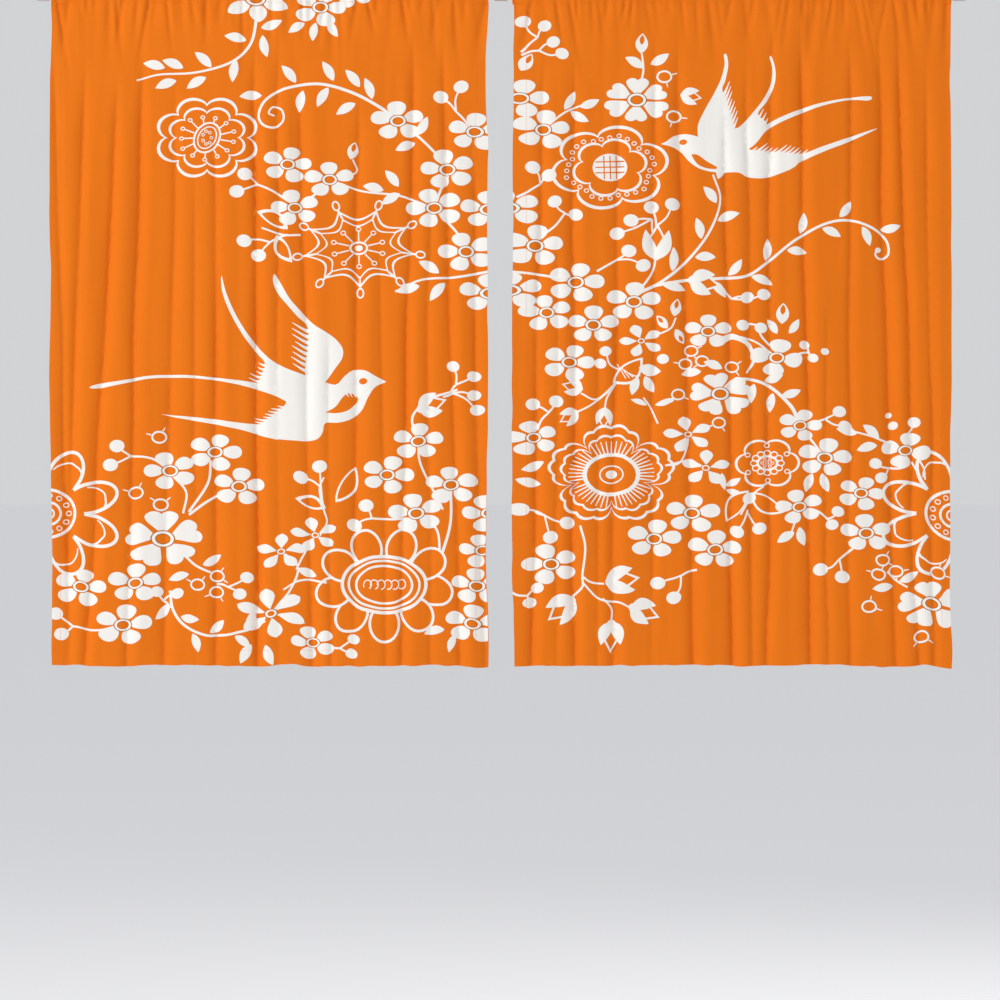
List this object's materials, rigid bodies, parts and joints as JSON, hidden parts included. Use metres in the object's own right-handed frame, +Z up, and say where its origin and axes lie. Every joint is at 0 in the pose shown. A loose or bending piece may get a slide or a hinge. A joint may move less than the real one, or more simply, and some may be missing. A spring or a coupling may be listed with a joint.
{
  "type": "rod pocket window curtains",
  "caption": "Pair of short rod-pocket window curtains, orange with white birds and blossom, on a telescopic rod with ball finials and wall brackets.",
  "frame": {"origin": "centre of the middle wall plate's back face, level with the rod's axis", "axes": "+X along the rod towards its extending end, +Y into the wall, +Z up"},
  "size_m": [1.4104, 0.1239, 0.9851],
  "materials": {
    "printed_cloth": "matt woven polyester, orange ground with a white print",
    "hem_cloth": "matt woven polyester, folded and stitched",
    "satin_nickel": "satin nickel plate",
    "zinc_screw": "bright zinc plate",
    "pale_nylon": "natural nylon"
  },
  "bodies": {
    "root": {"outer_tube": "satin_nickel", "outer_tube_end_ring": "pale_nylon", "left_end_plug": "pale_nylon", "left_wall_plate": "satin_nickel", "left_lower_wall_screw": "zinc_screw", "left_upper_wall_screw": "zinc_screw", "left_bracket_arm": "satin_nickel", "left_arm_grub_screw": "zinc_screw", "centre_wall_plate": "satin_nickel", "centre_lower_wall_screw": "zinc_screw", "centre_upper_wall_screw": "zinc_screw", "centre_bracket_arm": "satin_nickel", "centre_arm_grub_screw": "zinc_screw", "right_wall_plate": "satin_nickel", "right_lower_wall_screw": "zinc_screw", "right_upper_wall_screw": "zinc_screw", "right_bracket_arm": "satin_nickel", "right_arm_grub_screw": "zinc_screw", "left_curtain_cloth": "printed_cloth", "left_bottom_hem": "hem_cloth", "left_outer_hem": "hem_cloth", "right_curtain_cloth": "printed_cloth", "right_bottom_hem": "hem_cloth", "right_outer_hem": "hem_cloth"},
    "left_lead_edge": {"left_lead_hem": "hem_cloth"},
    "right_lead_edge": {"right_lead_hem": "hem_cloth"},
    "rod_extension": {"inner_tube": "satin_nickel", "inner_tube_guide_bush": "pale_nylon", "right_end_plug": "pale_nylon"},
    "left_finial": {"left_finial": "satin_nickel", "left_finial_stud": "zinc_screw"},
    "right_finial": {"right_finial": "satin_nickel", "right_finial_stud": "zinc_screw"},
    "left_clamp_tip": {"left_clamp_tip": "pale_nylon"},
    "left_clamp_screw": {"left_clamp_screw": "zinc_screw"},
    "centre_clamp_tip": {"centre_clamp_tip": "pale_nylon"},
    "centre_clamp_screw": {"centre_clamp_screw": "zinc_screw"},
    "right_clamp_tip": {"right_clamp_tip": "pale_nylon"},
    "right_clamp_screw": {"right_clamp_screw": "zinc_screw"}
  },
  "joints": [
    {"name": "left_curtain_draw", "type": "slide", "parent": "root", "child": "left_lead_edge", "axis": [-1, 0, 0], "range_m": [0, 0.4], "deforming": ["left_curtain_cloth", "left_bottom_hem"]},
    {"name": "right_curtain_draw", "type": "slide", "parent": "root", "child": "right_lead_edge", "axis": [1, 0, 0], "range_m": [0, 0.4], "deforming": ["right_curtain_cloth", "right_bottom_hem"]},
    {"name": "rod_extension_slide", "type": "slide", "parent": "root", "child": "rod_extension", "axis": [1, 0, 0], "range_m": [-0.012, 0.34]},
    {"name": "left_finial_pull", "type": "slide", "parent": "root", "child": "left_finial", "axis": [-1, 0, 0], "range_m": [0, 0.03]},
    {"name": "right_finial_pull", "type": "slide", "parent": "rod_extension", "child": "right_finial", "axis": [1, 0, 0], "range_m": [0, 0.03]},
    {"name": "left_clamp_travel", "type": "slide", "parent": "root", "child": "left_clamp_tip", "axis": [0, 0, 1], "range_m": [-0.00282, 0]},
    {"name": "left_clamp_turn", "type": "hinge", "parent": "left_clamp_tip", "child": "left_clamp_screw", "pos_m": [-0.64, -0.08, -0.0101], "axis": [0, 0, 1], "range_deg": [-1440, 0]},
    {"name": "centre_clamp_travel", "type": "slide", "parent": "root", "child": "centre_clamp_tip", "axis": [0, 0, 1], "range_m": [-0.00282, 0]},
    {"name": "centre_clamp_turn", "type": "hinge", "parent": "centre_clamp_tip", "child": "centre_clamp_screw", "pos_m": [0, -0.08, -0.0101], "axis": [0, 0, 1], "range_deg": [-1440, 0]},
    {"name": "right_clamp_travel", "type": "slide", "parent": "root", "child": "right_clamp_tip", "axis": [0, 0, 1], "range_m": [-0.00282, 0]},
    {"name": "right_clamp_turn", "type": "hinge", "parent": "right_clamp_tip", "child": "right_clamp_screw", "pos_m": [0.64, -0.08, -0.00845], "axis": [0, 0, 1], "range_deg": [-1440, 0]}
  ],
  "couplings": [
    {"joint": "left_clamp_travel", "follows": "left_clamp_turn", "m_per_rad": 0.00011141},
    {"joint": "centre_clamp_travel", "follows": "centre_clamp_turn", "m_per_rad": 0.00011141},
    {"joint": "right_clamp_travel", "follows": "right_clamp_turn", "m_per_rad": 0.00011141}
  ]
}
